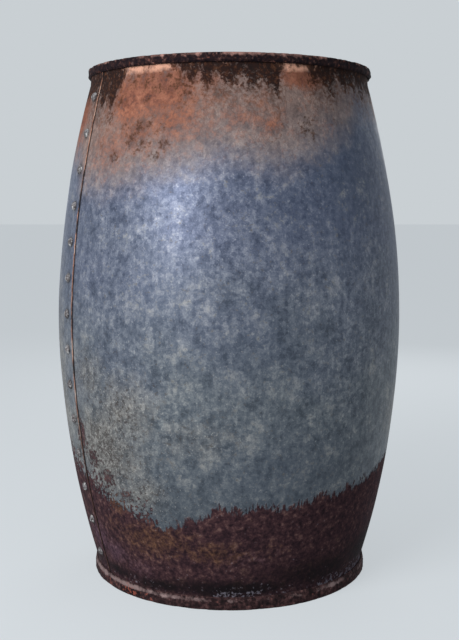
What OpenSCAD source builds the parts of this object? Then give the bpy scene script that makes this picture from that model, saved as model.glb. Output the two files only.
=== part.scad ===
// A bilged steel barrel of the 200 litre class: one riveted body sheet, two flanged heads,
// two rolled chime rings over the joints, and a bung and a vent screwed into the top head.
// The barrel stands on z = 0, its axis is Z and its front faces -Y. All sizes are in mm.

/* [Barrel] */
// Height from the foot to the rim
height = 875; // [720:1:1060]
// Diameter at the middle of the bilge
bilge_d = 602; // [500:1:730]
// Diameter of the straight necks at both ends
neck_d = 479; // [390:1:490]
// Straight neck left free past the foot ring
neck_spare = 3; // [1:1:20]
// Fullness of the bilge, where 2 is a parabola
bilge_power = 1.93; // [1.6:0.01:2.6]
// Thickness of the body sheet
sheet_t = 1.6; // [1:0.1:2.5]

/* [Side seam] */
// Width of the lap
lap_w = 40; // [30:1:60]
// Space between the two layers of the lap
lap_gap = 0.1; // [0.05:0.05:0.3]
// Direction of the outer layer's free edge, from +X towards +Y
seam_edge = -149.2; // [-180:0.1:180]
// Number of rivets
rivet_count = 14; // [8:1:18]
// Height of the first rivet above the foot, and of the last below the rim
rivet_end = 52.7; // [45:0.1:90]
// Diameter of a rivet's head
rivet_head_d = 16; // [12:0.5:18]
// Height of a rivet's head
rivet_head_h = 5; // [3:0.5:6]
// Diameter of a rivet's shank
rivet_d = 8; // [6:0.5:10]

/* [Chime rings] */
// Height of the foot ring
foot_ring_h = 21; // [14:1:26]
// Height of the foot ring's upright band, below its sloping top
foot_band_h = 11; // [8:1:12]
// Height of the rim ring
rim_ring_h = 14; // [12:1:26]
// Height of the rim ring's upright band
rim_band_h = 11; // [8:1:12]
// Thickness of a ring's outer and inner legs
ring_leg = 3.2; // [2:0.1:4]
// Thickness of the web that joins a ring's legs
ring_web = 3; // [2:0.1:4]

/* [Heads] */
// Thickness of a head
head_t = 2; // [1.2:0.1:3]
// Inner radius of the bend between a head's disc and its skirt
knuckle_r = 8; // [4:0.5:12]
// How far a head's middle panel stands out
panel_h = 5; // [2:0.5:8]
// Width of the slope around the middle panel
panel_slope = 8; // [5:1:15]
// Straight skirt left free past the foot ring
skirt_spare = 3; // [1:0.5:8]
// How far the bung stays below the rim
rim_clear = 5; // [2:0.5:15]

/* [Bung and vent] */
// Direction of the bung, with the vent opposite, from +X towards +Y
bung_dir = 45; // [0:1:360]
// Diameter of the bung's bore, at the middle of a 2 inch pipe thread
bung_bore_d = 58.24; // [48:0.01:72]
// Wall of the bung's boss
bung_wall = 9; // [6:0.5:11]
// Height of the bung's boss
bung_boss_h = 15; // [12:0.5:20]
// Side of the square on the bung plug
bung_square = 26; // [20:1:32]
// Flat left between the bung's plate and the knuckle
bung_edge = 8; // [4:0.5:16]
// Rivets that hold the bung's plate
bung_rivet_count = 6; // [4:1:8]
// Diameter of the vent's bore, at the middle of a 3/4 inch pipe thread
vent_bore_d = 25.38; // [20:0.01:32]
// Wall of the vent's boss
vent_wall = 7.5; // [5:0.5:10]
// Height of the vent's boss
vent_boss_h = 13; // [10:0.5:15]
// Side of the square on the vent plug
vent_square = 14; // [10:1:16]
// Flat left between the vent's plate and the knuckle
vent_edge = 27; // [10:0.5:30]
// Rivets that hold the vent's plate
vent_rivet_count = 4; // [3:1:6]
// Width of each plate around its boss
plate_w = 11; // [10:0.5:14]
// Thickness of each plate
plate_t = 6; // [4:0.5:8]
// Diameter of a plate rivet's shank
plate_rivet_d = 4.5; // [3:0.5:5]
// Thickness of a gasket
gasket_t = 2; // [1:0.5:3]
// Thickness of a plug's flange
plug_flange_t = 4; // [3:0.5:6]
// Height of the square on each plug
square_h = 8; // [6:0.5:12]

/* [Hidden] */
$fn = 96;

// Clearances between pieces that fit each other
ring_fit = 0.3;       // sheet and skirt inside the slot of a ring
skirt_fit = 0.2;      // skirt inside the neck
shank_fit = 0.15;     // rivet in its hole
seat_gap = 0.05;      // flat seats, and the outer head of a seam rivet
hollow_seat_gap = 0.3;  // inner head of a seam rivet, on the hollow side of the sheet
thread_fit = 0.05;    // plug in its bore
gasket_fit = 0.5;     // gasket around its plug

// Body sheet
stations = 28;        // straight steps along the bilge
wrap = sheet_t + lap_gap;   // how far the sheet grows outwards in one turn
neck_h = max(foot_ring_h, rim_ring_h) + neck_spare;
lap_angle = lap_w / (PI * bilge_d) * 360;
seam_start = seam_edge - lap_angle;
rivet_pitch = (height - 2 * rivet_end) / (rivet_count - 1);
lap_grip = 2 * sheet_t + lap_gap;

// Ends, from the outside of the neck inwards
slot_outer_r = neck_d / 2 + wrap / 2 + ring_fit;
ring_outer_r = slot_outer_r + ring_leg;
skirt_r = neck_d / 2 - wrap / 2 - sheet_t - skirt_fit;
slot_inner_r = skirt_r - head_t - ring_fit;
ring_inner_r = slot_inner_r - ring_leg;
ring_floor = ring_web + ring_fit;   // height of what stands in the foot ring's slot
ring_edge_r = 1.5;    // rounding of a ring's corners
ring_lip = 1;         // thickness of a ring's thin upper edge

// Closures
bung_boss_r = bung_bore_d / 2 + bung_wall;
bung_plate_r = bung_boss_r + plate_w;
vent_boss_r = vent_bore_d / 2 + vent_wall;
vent_plate_r = vent_boss_r + plate_w;
plug_short = 1;       // a plug ends this far above the head
spigot_wall = 5;      // wall of the spigot that centres a boss in the head
plug_wall = 8;        // wall of the plug around its hollow underside
plug_floor = 6;       // metal left above that hollow
gasket_edge = 1.5;    // gasket inside the edge of its boss
plate_rivet_head_d = plate_rivet_d * 1.8;
plate_rivet_head_h = plate_rivet_d * 0.6;

// Heads
bung_stack = bung_boss_h + gasket_t + plug_flange_t + square_h;
head_recess = max(foot_ring_h + knuckle_r + skirt_spare, bung_stack + rim_clear);
head_face = height - head_recess;
flat_r = skirt_r - head_t - knuckle_r;   // the disc is flat to here
bung_r = flat_r - bung_edge - bung_plate_r;
vent_r = flat_r - vent_edge - vent_plate_r;
panel_gap = 6;        // between the middle panel's slope and the nearest plate
panel_r = min(bung_r - bung_plate_r, vent_r - vent_plate_r) - panel_gap - panel_slope;

// Points of a round stretch
function arc(centre, r, from, to, steps = 6) =
    [for (i = [0 : steps]) let (a = from + (to - from) * i / steps)
        centre + r * [cos(a), sin(a)]];

function hundredths(x) = round(x * 100) / 100;

// Mean outer radius of the body at height z, and its change per mm of height
function body_r(z) =
    let (u = min(1, abs(z - height / 2) / (height / 2 - neck_h)))
    (bilge_d - (bilge_d - neck_d) * pow(u, bilge_power)) / 2;
function body_slope(z) = (body_r(z + 1) - body_r(z - 1)) / 2;

// Section of the body sheet, grown outwards by grow from its first turn
module sheet_section(grow) {
    heights = concat(
        [ring_floor],
        [for (i = [0 : stations]) neck_h + (height - 2 * neck_h) * i / stations],
        [height - ring_floor]
    );
    last = len(heights) - 1;
    outside = [for (z = heights) [hundredths(body_r(z) - wrap / 2) + grow, hundredths(z)]];
    inside = [for (i = [last : -1 : 0]) outside[i] - [sheet_t, 0]];
    polygon(concat(outside, inside));
}

// The sheet winds outwards by its own thickness in one turn: two half turns about
// centres half of that apart, then the lap over the first layer
module wound_sheet() {
    rotate_extrude(angle = 180) sheet_section(0);
    translate([wrap / 2, 0, 0]) rotate([0, 0, 180])
        rotate_extrude(angle = 180) sheet_section(wrap / 2);
    rotate_extrude(angle = lap_angle) sheet_section(wrap);
}

// Puts its children on the outside of the lap, once for each seam rivet, pointing out
module at_seam_rivets() {
    for (i = [0 : rivet_count - 1]) {
        z = rivet_end + i * rivet_pitch;
        rotate([0, 0, seam_edge - lap_angle / 2])
            translate([body_r(z) + wrap / 2, 0, z])
                rotate([0, 90 + atan(body_slope(z)), 0])
                    children();
    }
}

// A snap-head rivet through grip mm of sheet, its outer sheet's face at z = 0
module rivet(head_d, head_h, shank_d, grip, inner_gap) {
    dome_r = (pow(head_d / 2, 2) + pow(head_h, 2)) / (2 * head_h);
    rise = asin((dome_r - head_h) / dome_r);
    top = seat_gap;
    bottom = -grip - inner_gap;
    rotate_extrude() polygon(concat(
        arc([0, top + head_h - dome_r], dome_r, 90, rise),
        [[shank_d / 2, top], [shank_d / 2, bottom]],
        arc([0, bottom - head_h + dome_r], dome_r, -rise, -90)
    ));
}

// A rolled channel that stands on z = 0 and opens upwards
module ring(ring_h, band_h) {
    turn_r = ring_edge_r;
    rotate_extrude() polygon(concat(
        arc([ring_inner_r + turn_r, turn_r], turn_r, 180, 270),
        arc([ring_outer_r - turn_r, turn_r], turn_r, 270, 360),
        [
            [ring_outer_r, band_h], [slot_outer_r + ring_lip, ring_h], [slot_outer_r, ring_h],
            [slot_outer_r, ring_web], [slot_inner_r, ring_web],
            [slot_inner_r, ring_h], [ring_inner_r, ring_h]
        ]
    ));
}

// A flanged disc whose outer face is z = 0 and whose skirt rises to the ring's slot
module head() {
    bend = [flat_r, knuckle_r];
    skirt_top = head_recess - ring_floor;
    rotate_extrude() polygon(concat(
        [[0, panel_h], [panel_r, panel_h], [panel_r + panel_slope, 0]],
        arc(bend, knuckle_r, 270, 360),
        [[skirt_r - head_t, skirt_top], [skirt_r, skirt_top]],
        arc(bend, knuckle_r + head_t, 360, 270),
        [[panel_r + panel_slope, -head_t], [panel_r, panel_h - head_t], [0, panel_h - head_t]]
    ));
}

// Puts a closure's pieces on the top head's outer face
module at_bung() rotate([0, 0, bung_dir]) translate([bung_r, 0, head_face]) children();
module at_vent() rotate([0, 0, bung_dir + 180]) translate([vent_r, 0, head_face]) children();

module around(count, r)
    for (i = [0 : count - 1]) rotate([0, 0, (i + 0.5) * 360 / count]) translate([r, 0, 0])
        children();

// What the head loses for a closure: the hole of the spigot and those of the rivets
module head_holes(bore_d, plate_r, count) {
    depth = 3 * head_t;
    cylinder(r = bore_d / 2 + spigot_wall + ring_fit, h = depth, center = true);
    around(count, plate_r - plate_w / 2)
        cylinder(d = plate_rivet_d + 2 * shank_fit, h = depth, center = true);
}

// A bored boss on a riveted plate, with a spigot down through the head
module flange(bore_d, boss_r, boss_h, count) {
    plate_r = boss_r + plate_w;
    difference() {
        union() {
            translate([0, 0, seat_gap]) cylinder(r = plate_r, h = plate_t - seat_gap);
            cylinder(r = boss_r, h = boss_h);
            translate([0, 0, -head_t]) cylinder(r = bore_d / 2 + spigot_wall, h = 2 * head_t);
        }
        translate([0, 0, -2 * head_t]) cylinder(d = bore_d, h = boss_h + 3 * head_t);
        around(count, plate_r - plate_w / 2)
            cylinder(d = plate_rivet_d + 2 * shank_fit, h = 3 * plate_t, center = true);
    }
}

module plate_rivets(plate_r, count) {
    around(count, plate_r - plate_w / 2) translate([0, 0, plate_t])
        rivet(plate_rivet_head_d, plate_rivet_head_h, plate_rivet_d, plate_t + head_t, seat_gap);
}

module gasket(bore_d, boss_r, boss_h) {
    translate([0, 0, boss_h + seat_gap]) difference() {
        cylinder(r = boss_r - gasket_edge, h = gasket_t - 2 * seat_gap);
        translate([0, 0, -gasket_t])
            cylinder(r = bore_d / 2 - thread_fit + gasket_fit, h = 3 * gasket_t);
    }
}

// A hollow screwed plug with a flange on the gasket and a square for the key
module plug(bore_d, boss_r, boss_h, square_w) {
    body_radius = bore_d / 2 - thread_fit;
    seat = boss_h + gasket_t;
    hollow_h = seat + plug_flange_t - plug_floor - plug_short;
    difference() {
        union() {
            translate([0, 0, plug_short]) cylinder(r = body_radius, h = seat);
            translate([0, 0, seat]) cylinder(r = boss_r - seat_gap, h = plug_flange_t);
            translate([0, 0, seat + plug_flange_t + square_h / 2])
                cube([square_w, square_w, square_h + 2 * seat_gap], center = true);
        }
        cylinder(r = body_radius - plug_wall, h = hollow_h);
    }
}

module shell() {
    color("#7e8591") difference() {
        rotate([0, 0, seam_start]) wound_sheet();
        at_seam_rivets() cylinder(d = rivet_d + 2 * shank_fit, h = 4 * lap_grip, center = true);
    }
}

module seam_rivets() {
    color("#5c6068") at_seam_rivets()
        rivet(rivet_head_d, rivet_head_h, rivet_d, lap_grip, hollow_seat_gap);
}

module top_head() {
    color("#6b5148") difference() {
        translate([0, 0, head_face]) head();
        at_bung() head_holes(bung_bore_d, bung_plate_r, bung_rivet_count);
        at_vent() head_holes(vent_bore_d, vent_plate_r, vent_rivet_count);
    }
}

module bottom_head() {
    color("#4c3834") translate([0, 0, head_recess]) mirror([0, 0, 1]) head();
}

module rim_ring() {
    color("#3a2626") translate([0, 0, height]) mirror([0, 0, 1]) ring(rim_ring_h, rim_band_h);
}

module foot_ring() {
    color("#33201f") ring(foot_ring_h, foot_band_h);
}

module bung_flange() {
    color("#5a4038") at_bung() flange(bung_bore_d, bung_boss_r, bung_boss_h, bung_rivet_count);
}

module bung_flange_rivets() {
    color("#4a3630") at_bung() plate_rivets(bung_plate_r, bung_rivet_count);
}

module bung_gasket() {
    color("#1d1b1a") at_bung() gasket(bung_bore_d, bung_boss_r, bung_boss_h);
}

module bung_plug() {
    color("#6a4a3c") at_bung() plug(bung_bore_d, bung_boss_r, bung_boss_h, bung_square);
}

module vent_flange() {
    color("#5a4038") at_vent() flange(vent_bore_d, vent_boss_r, vent_boss_h, vent_rivet_count);
}

module vent_flange_rivets() {
    color("#4a3630") at_vent() plate_rivets(vent_plate_r, vent_rivet_count);
}

module vent_gasket() {
    color("#1d1b1a") at_vent() gasket(vent_bore_d, vent_boss_r, vent_boss_h);
}

module vent_plug() {
    color("#6a4a3c") at_vent() plug(vent_bore_d, vent_boss_r, vent_boss_h, vent_square);
}

shell();
seam_rivets();
top_head();
bottom_head();
rim_ring();
foot_ring();
bung_flange();
bung_flange_rivets();
bung_gasket();
bung_plug();
vent_flange();
vent_flange_rivets();
vent_gasket();
vent_plug();
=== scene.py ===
import bpy
import numpy as np
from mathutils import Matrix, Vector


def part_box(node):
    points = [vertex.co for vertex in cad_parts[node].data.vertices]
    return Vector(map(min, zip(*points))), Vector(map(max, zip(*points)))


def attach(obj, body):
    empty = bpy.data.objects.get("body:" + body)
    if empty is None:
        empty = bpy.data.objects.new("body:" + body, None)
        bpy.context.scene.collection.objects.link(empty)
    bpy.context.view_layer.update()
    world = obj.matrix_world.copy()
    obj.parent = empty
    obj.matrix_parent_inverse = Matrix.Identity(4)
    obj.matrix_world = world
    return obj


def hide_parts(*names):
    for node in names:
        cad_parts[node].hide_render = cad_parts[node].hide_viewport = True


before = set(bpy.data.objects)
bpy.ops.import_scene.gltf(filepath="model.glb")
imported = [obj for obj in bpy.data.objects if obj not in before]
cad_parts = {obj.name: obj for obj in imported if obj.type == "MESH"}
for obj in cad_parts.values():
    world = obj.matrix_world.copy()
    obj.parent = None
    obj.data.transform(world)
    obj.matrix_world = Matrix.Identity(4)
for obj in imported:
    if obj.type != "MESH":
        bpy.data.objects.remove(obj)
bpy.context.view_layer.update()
mm = 0.001
print("frame: loaded", len(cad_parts), "nodes")


# tools that every piece uses

def linear(colour):  # sRGB hex to linear RGBA
    parts = np.array([int(colour[i:i + 2], 16) for i in (1, 3, 5)]) / 255
    parts = np.where(parts <= 0.04045, parts / 12.92, ((parts + 0.055) / 1.055) ** 2.4)
    return (*parts.tolist(), 1.0)


def addNode(tree, kind, sockets=None, out=0, stops=(), **settings):
    # one shader node: a socket takes a value, a hex colour or another node's output
    node = tree.nodes.new("ShaderNode" + kind)
    for name, value in settings.items():
        setattr(node, name, value)
    for key, value in (sockets or {}).items():
        if isinstance(value, bpy.types.NodeSocket):
            tree.links.new(value, node.inputs[key])
        else:
            node.inputs[key].default_value = linear(value) if isinstance(value, str) else value
    for k, (at, colour) in enumerate(stops):
        spots = node.color_ramp.elements
        spot = spots[0] if k == 0 else spots[len(spots) - 1] if k == 1 else spots.new(at)
        spot.position = at
        spot.color = linear(colour)
    return node.outputs[out] if len(node.outputs) else node


colourMix = dict(out=2, data_type="RGBA")  # a Mix node for colours: factor 0, colours 6 and 7


def noisyMask(tree, base, shares, low, high, most=1.0, **settings):
    # base plus a share of each noise, stretched so that low gives 0 and high gives the most
    for noise, share in shares:
        base = addNode(tree, "Math", {0: noise, 1: share, 2: base}, operation="MULTIPLY_ADD")
    return addNode(tree, "MapRange", {0: base, 1: low, 2: high, 4: most}, **settings)


def lumps(points, size, seed=0):
    # smooth noise from -1 to 1: random values on a cubic lattice, blended between corners by 3t^2 - 2t^3
    place = points / size + 31.7 * seed
    cell = np.floor(place).astype(np.int64)
    t = place - cell
    t = t * t * (3 - 2 * t)
    total = np.zeros(points.shape[:-1])
    for corner in np.ndindex(2, 2, 2):
        c = cell + np.array(corner)
        mixed = (c[..., 0] * 73856093) ^ (c[..., 1] * 19349663) ^ (c[..., 2] * 83492791)
        mixed = (mixed ^ (mixed >> 13)) * 1274126177
        mixed = (mixed ^ (mixed >> 16)) & 65535
        total += (mixed / 32767.5 - 1) * np.prod(np.where(corner, t, 1 - t), axis=-1)
    return total


def smooth(low, high, value):  # 0 below low, 1 above high, 3t^2 - 2t^3 between
    t = np.clip((value - low) / (high - low), 0, 1)
    return t * t * (3 - 2 * t)


def around(radius, turn, height):  # points at a radius, a turn in degrees and a height
    angle = np.radians(turn)
    return np.stack(np.broadcast_arrays(radius * np.sin(angle), -radius * np.cos(angle), height), -1)


def roundedPath(corners, radii, step, closed=False):
    # straight sides in equal steps, with each corner between two sides turned into an arc of its radius
    corner = np.array(corners, float)
    if closed:
        corner = np.concatenate([corner[-1:], corner, corner[:1]])
    here = corner[1:-1]
    back, ahead = corner[:-2] - here, corner[2:] - here
    back /= np.linalg.norm(back, axis=1, keepdims=True)
    ahead /= np.linalg.norm(ahead, axis=1, keepdims=True)
    half = np.arccos(np.clip((back * ahead).sum(1), -1, 1))[:, None] / 2
    radii = np.broadcast_to(np.reshape(radii, (-1, 1)), half.shape)
    start, end = (here + way * radii / np.tan(half) for way in (back, ahead))
    middle = (back + ahead) / np.linalg.norm(back + ahead, axis=1, keepdims=True)
    centre = here + middle * radii / np.sin(half)
    t = np.linspace(0, 1, 6)[None, :, None]
    spoke = (start - centre)[:, None] * (1 - t) + (end - centre)[:, None] * t
    arcs = centre[:, None] + spoke / np.linalg.norm(spoke, axis=2, keepdims=True) * radii[:, None]
    sideStarts = end if closed else np.concatenate([corner[:1], end])
    sideEnds = np.roll(start, -1, 0) if closed else np.concatenate([start, corner[-1:]])
    sides = []
    for a, b, gap in zip(sideStarts, sideEnds, np.broadcast_to(step, len(sideStarts))):
        count = max(2, int(np.ceil(np.linalg.norm(b - a) / gap)))
        sides.append(a + (b - a) * (np.arange(1, count) / count)[:, None])
    if closed:
        return np.concatenate([part for pair in zip(arcs, sides) for part in pair])
    rest = [part for pair in zip(arcs, sides[1:]) for part in pair]
    return np.concatenate([corner[:1], sides[0], *rest, corner[-1:]])


def pathNormals(path, closed=False):  # a quarter turn to the right of the run of a path
    run = np.roll(path, -1, 0) - np.roll(path, 1, 0) if closed else np.gradient(path, axis=0)
    return np.stack([run[:, 1], -run[:, 0]], 1) / np.linalg.norm(run, axis=1, keepdims=True)


def gridTriangles(index, closeRows=True, closeColumns=True):
    # two triangles for each square between neighbours of a grid of point numbers, without flat ones
    if closeRows:
        index = np.concatenate([index, index[:1]])
    if closeColumns:
        index = np.concatenate([index, index[:, :1]], 1)
    a, b, c, d = index[:-1, :-1], index[:-1, 1:], index[1:, 1:], index[1:, :-1]
    tris = np.stack([a, b, c, a, c, d], -1).reshape(-1, 3)
    return tris[(tris[:, 0] != tris[:, 1]) & (tris[:, 1] != tris[:, 2]) & (tris[:, 0] != tris[:, 2])]


def lathe(path, columns, closed=False):
    # a path of (radius, height) carried round the axis; an open path starts and ends on the axis
    points = around(path[:, :1], np.arange(columns)[None] * 360 / columns, path[:, 1:])
    index = np.arange(points.shape[0] * columns).reshape(points.shape[:2])
    if not closed:
        index[0], index[-1] = index[0, 0], index[-1, -1]
    return points, gridTriangles(index, closeRows=closed)


def copiesOf(points, tris, frames):
    # the same shape in several places; a frame is an origin and three axes, as four rows
    places = np.array(frames)
    moved = np.einsum("pi,kij->kpj", points.reshape(-1, 3), places[:, 1:]) + places[:, :1]
    return moved, (tris[None] + np.arange(len(places))[:, None, None] * points.size // 3).reshape(-1, 3)


def makePiece(name, points, tris, body, nodes, material, fields=None):
    # a closed mesh from points and triangles, turned outwards by the sign of its volume
    used, tris = np.unique(tris, return_inverse=True)
    tris = tris.reshape(-1, 3)
    points = points.reshape(-1, 3)[used]
    corner = points[tris]
    if np.einsum("ij,ij->", corner[:, 0], np.cross(corner[:, 1], corner[:, 2])) < 0:
        tris = tris[:, ::-1]
    mesh = bpy.data.meshes.new(name)
    mesh.vertices.add(len(points))
    mesh.vertices.foreach_set("co", points.astype(np.float32).ravel())
    mesh.loops.add(tris.size)
    mesh.loops.foreach_set("vertex_index", tris.astype(np.int32).ravel())
    mesh.polygons.add(len(tris))
    mesh.polygons.foreach_set("loop_start", np.arange(0, tris.size, 3, dtype=np.int32))
    mesh.polygons.foreach_set("use_smooth", np.ones(len(tris), bool))
    for field, values in (fields or {}).items():
        layer = mesh.attributes.new(field, "FLOAT", "POINT")
        layer.data.foreach_set("value", values.ravel()[used].astype(np.float32))
    mesh.update()
    mesh.validate()
    mesh.materials.append(material)
    piece = bpy.data.objects.new(name, mesh)
    bpy.context.scene.collection.objects.link(piece)
    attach(piece, body)
    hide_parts(*nodes)
    print("piece:", name, len(tris), "triangles")
    return piece


def cutAway(piece, points, tris):
    # takes a closed shape out of a piece for good
    mesh = bpy.data.meshes.new("cutter")
    mesh.from_pydata(points.reshape(-1, 3).tolist(), [], tris.tolist())
    cutter = bpy.data.objects.new("cutter", mesh)
    bpy.context.scene.collection.objects.link(cutter)
    cut = piece.modifiers.new("holes", "BOOLEAN")
    cut.object = cutter
    cut.solver = "EXACT"
    shaped = piece.evaluated_get(bpy.context.evaluated_depsgraph_get())
    piece.data = bpy.data.meshes.new_from_object(shaped)
    piece.modifiers.clear()
    bpy.data.objects.remove(cutter)


def newMaterial(name):
    material = bpy.data.materials.new(name)
    material.use_nodes = True
    material.node_tree.nodes.clear()
    return material, material.node_tree


def finishMaterial(tree, colour, roughness, metallic, height, depth, gloss=0.5):
    # the surface itself: height from 0 to 1 is a relief of that depth
    bump = addNode(tree, "Bump", {"Height": height, "Distance": depth, "Strength": 1.0})
    surface = addNode(tree, "BsdfPrincipled", {
        "Base Color": colour, "Roughness": roughness, "Metallic": metallic, "Specular IOR Level": gloss,
        "Normal": bump})
    addNode(tree, "OutputMaterial", {"Surface": surface})


# camera, floor and light

view = dict(distance=1.7715, height=0.6395, pitch=6.38, lens=55.8, sensor=36)
light = dict(distance=2.6, size=1.6, fill=0.27)
lamps = dict(key=(-36.5, 24, 53.5), side=(75, 8, 3), back=(165, 25, 14))  # turn and rise in degrees, power
backdrop = "#c9cfd3"


def makeCamera():
    camera = bpy.data.objects.new("camera", bpy.data.cameras.new("camera"))
    camera.location = (0, -view["distance"], view["height"])
    camera.rotation_euler = (np.radians(90 - view["pitch"]), 0, 0)
    camera.data.lens = view["lens"]
    camera.data.sensor_width = view["sensor"]
    bpy.context.scene.collection.objects.link(camera)
    bpy.context.scene.camera = camera
    bpy.context.scene.view_settings.view_transform = "Standard"


def makeLight(name, turn, rise, power):
    # a round soft light that looks at the middle of the barrel
    lamp = bpy.data.lights.new(name, "AREA")
    lamp.shape = "DISK"
    lamp.size = light["size"]
    lamp.energy = power
    holder = bpy.data.objects.new(name, lamp)
    rise = np.radians(rise)
    away = around(light["distance"] * np.cos(rise), turn, light["distance"] * np.sin(rise))
    holder.location = away + (0, 0, height / 2)
    holder.rotation_euler = (np.pi / 2 - rise, 0, np.radians(turn))
    bpy.context.scene.collection.objects.link(holder)


def backdropRays(tree):  # 1 for rays from the camera, and for those that metal and glass show
    seen = addNode(tree, "LightPath", out="Is Camera Ray")
    for kind in ("Glossy", "Transmission"):
        other = addNode(tree, "LightPath", out="Is " + kind + " Ray")
        seen = addNode(tree, "Math", {0: seen, 1: other}, operation="ADD")
    return seen


def makeRoom():
    # the world is a dim even fill for the barrel, and a pale tone behind it
    world = bpy.data.worlds.new("room")
    world.use_nodes = True
    tree = world.node_tree
    tree.nodes.clear()
    seen = backdropRays(tree)
    fill = addNode(tree, "Background", {"Color": "#e4ebf5", "Strength": light["fill"]})
    pale = addNode(tree, "Background", {"Color": backdrop, "Strength": 1.0})
    addNode(tree, "OutputWorld", {"Surface": addNode(tree, "MixShader", {0: seen, 1: fill, 2: pale})})
    bpy.context.scene.world = world

    material, tree = newMaterial("paleFloor")  # matt floor, lifted a little where the camera sees it
    seen = backdropRays(tree)
    matt = addNode(tree, "BsdfDiffuse", {"Color": "#8a8d8f"})
    glow = addNode(tree, "Emission", {"Color": backdrop, "Strength": 0.82})
    lifted = addNode(tree, "AddShader", {0: matt, 1: glow})
    addNode(tree, "OutputMaterial", {"Surface": addNode(tree, "MixShader", {0: seen, 1: matt, 2: lifted})})
    floor = bpy.data.objects.new("floor", bpy.data.meshes.new("floor"))
    reach = 40
    corners = [(-reach, -reach, 0), (reach, -reach, 0), (reach, reach, 0), (-reach, reach, 0)]
    floor.data.from_pydata(corners, [], [(0, 1, 2, 3)])
    floor.data.materials.append(material)
    bpy.context.scene.collection.objects.link(floor)


# sizes shared by the pieces, taken from the frame where it has them

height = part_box("rim_ring")[1].z
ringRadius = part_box("rim_ring")[1].x
fit = dict(ring=0.3 * mm, skirt=0.2 * mm, seat=0.05 * mm, thread=0.05 * mm, shank=0.15 * mm,
           spigot=0.3 * mm)  # gaps between the pieces
# the sheet winds outwards by growth in one turn, bulges by a curve of this power, and ends tuck inside the
# rings' webs; rows and columns are those of its mesh away from the lap
wall = dict(thickness=1.6 * mm, growth=1.7 * mm, power=1.93, neckHeight=24 * mm, lapWidth=40 * mm,
            seamTurn=-59.2, waviness=0.9 * mm, raggedEdge=0.9 * mm, tuck=3.3 * mm, rows=143, columns=276)
bilgeRadius = wall["growth"] / 2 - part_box("shell")[0].y
ringLeg = 3.2 * mm
slotRadius = ringRadius - ringLeg
neckRadius = slotRadius - fit["ring"] - wall["growth"] / 2
lapAngle = np.degrees(wall["lapWidth"] / bilgeRadius)
skirtRadius = neckRadius - wall["growth"] / 2 - wall["thickness"] - fit["skirt"]

makeCamera()
for name, (turn, rise, power) in lamps.items():
    makeLight(name, turn, rise, power)
makeRoom()
print("scene: camera, light and floor")


# rust and dirt: an edge is a line of (turn, height), and a patch is (turn, height, width,
# rise, strength), with turns and widths in degrees and heights and rises in mm

topRustEdge = [(-60, 672), (-45, 668), (-30, 680), (-15, 700), (0, 715), (15, 702), (30, 726), (45, 762),
               (55, 806), (75, 800), (95, 740), (120, 700), (150, 665), (180, 690), (210, 735),
               (240, 700), (270, 725), (293, 720)]
footRustEdge = [(-62, 205), (-55, 192), (-48, 182), (-40, 162), (-30, 150), (-23, 138), (-15, 150),
                (-6, 168), (-4, 182), (0, 172), (10, 181), (20, 175), (30, 186), (50, 192), (60, 205),
                (90, 232), (120, 190), (150, 165), (180, 205), (210, 240), (240, 190), (270, 215),
                (285, 228)]
dripStart = 14 * mm  # below the top; each drip reaches so many mm further down
dripReach = [(-66, 34), (-58, 40), (-55, 56), (-52, 40), (-49, 62), (-47, 58), (-45, 30), (-43, 4),
             (-40, -4), (-30, -10), (-24, -8), (-20, 4), (-17, 19), (-14, 24), (-11, 13), (-8, 36),
             (-5, 24), (-1, 32), (3, 20), (8, 32), (12, 26), (15, 34), (16.5, 62), (18, 36), (20, 2),
             (26, -6), (30, 12), (33, 38), (35, 22), (38, 36), (42, 32), (45, 14), (49, 28), (54, 18),
             (60, 34), (66, 20), (72, 36), (82, 26), (90, 40), (96, 8), (110, -4), (124, 30), (130, 54),
             (136, 26), (150, 40), (163, 20), (170, 50), (180, 46), (190, 10), (215, -4), (226, 36),
             (233, 58), (240, 22), (250, 34), (268, 10), (280, 40)]
# the bright strip just under the rim: partly bare scale, partly a painted highlight where the neck turns up
brightScaleAndHighlight = [(-37, 858, 8, 60, 0.82), (-26, 858, 7, 60, 0.76), (26, 858, 11, 60, 0.95),
               (-3, 857, 3, 60, 0.45), (-13, 856, 3, 60, 0.5), (112, 857, 10, 60, 0.8),
               (214, 857, 11, 60, 0.85), (160, 857, 4, 60, 0.6)]
orangeRust = [(-26, 822, 17, 46, 1.0), (-38, 812, 12, 50, 0.9), (-20, 778, 13, 36, 0.62),
              (-33, 760, 14, 40, 0.5), (-44, 735, 11, 40, 0.4), (-8, 838, 10, 26, 0.5),
              (14, 765, 5, 15, 0.5), (6, 780, 14, 34, 0.28), (27, 840, 9, 17, 1.1),
              (-72, 800, 7, 60, 0.9), (-47, 800, 6, 40, 0.3), (100, 800, 22, 60, 0.8),
              (150, 770, 16, 50, 0.6), (205, 815, 24, 45, 0.9), (262, 790, 18, 60, 0.7),
              (232, 740, 8, 25, 0.5)]
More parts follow.
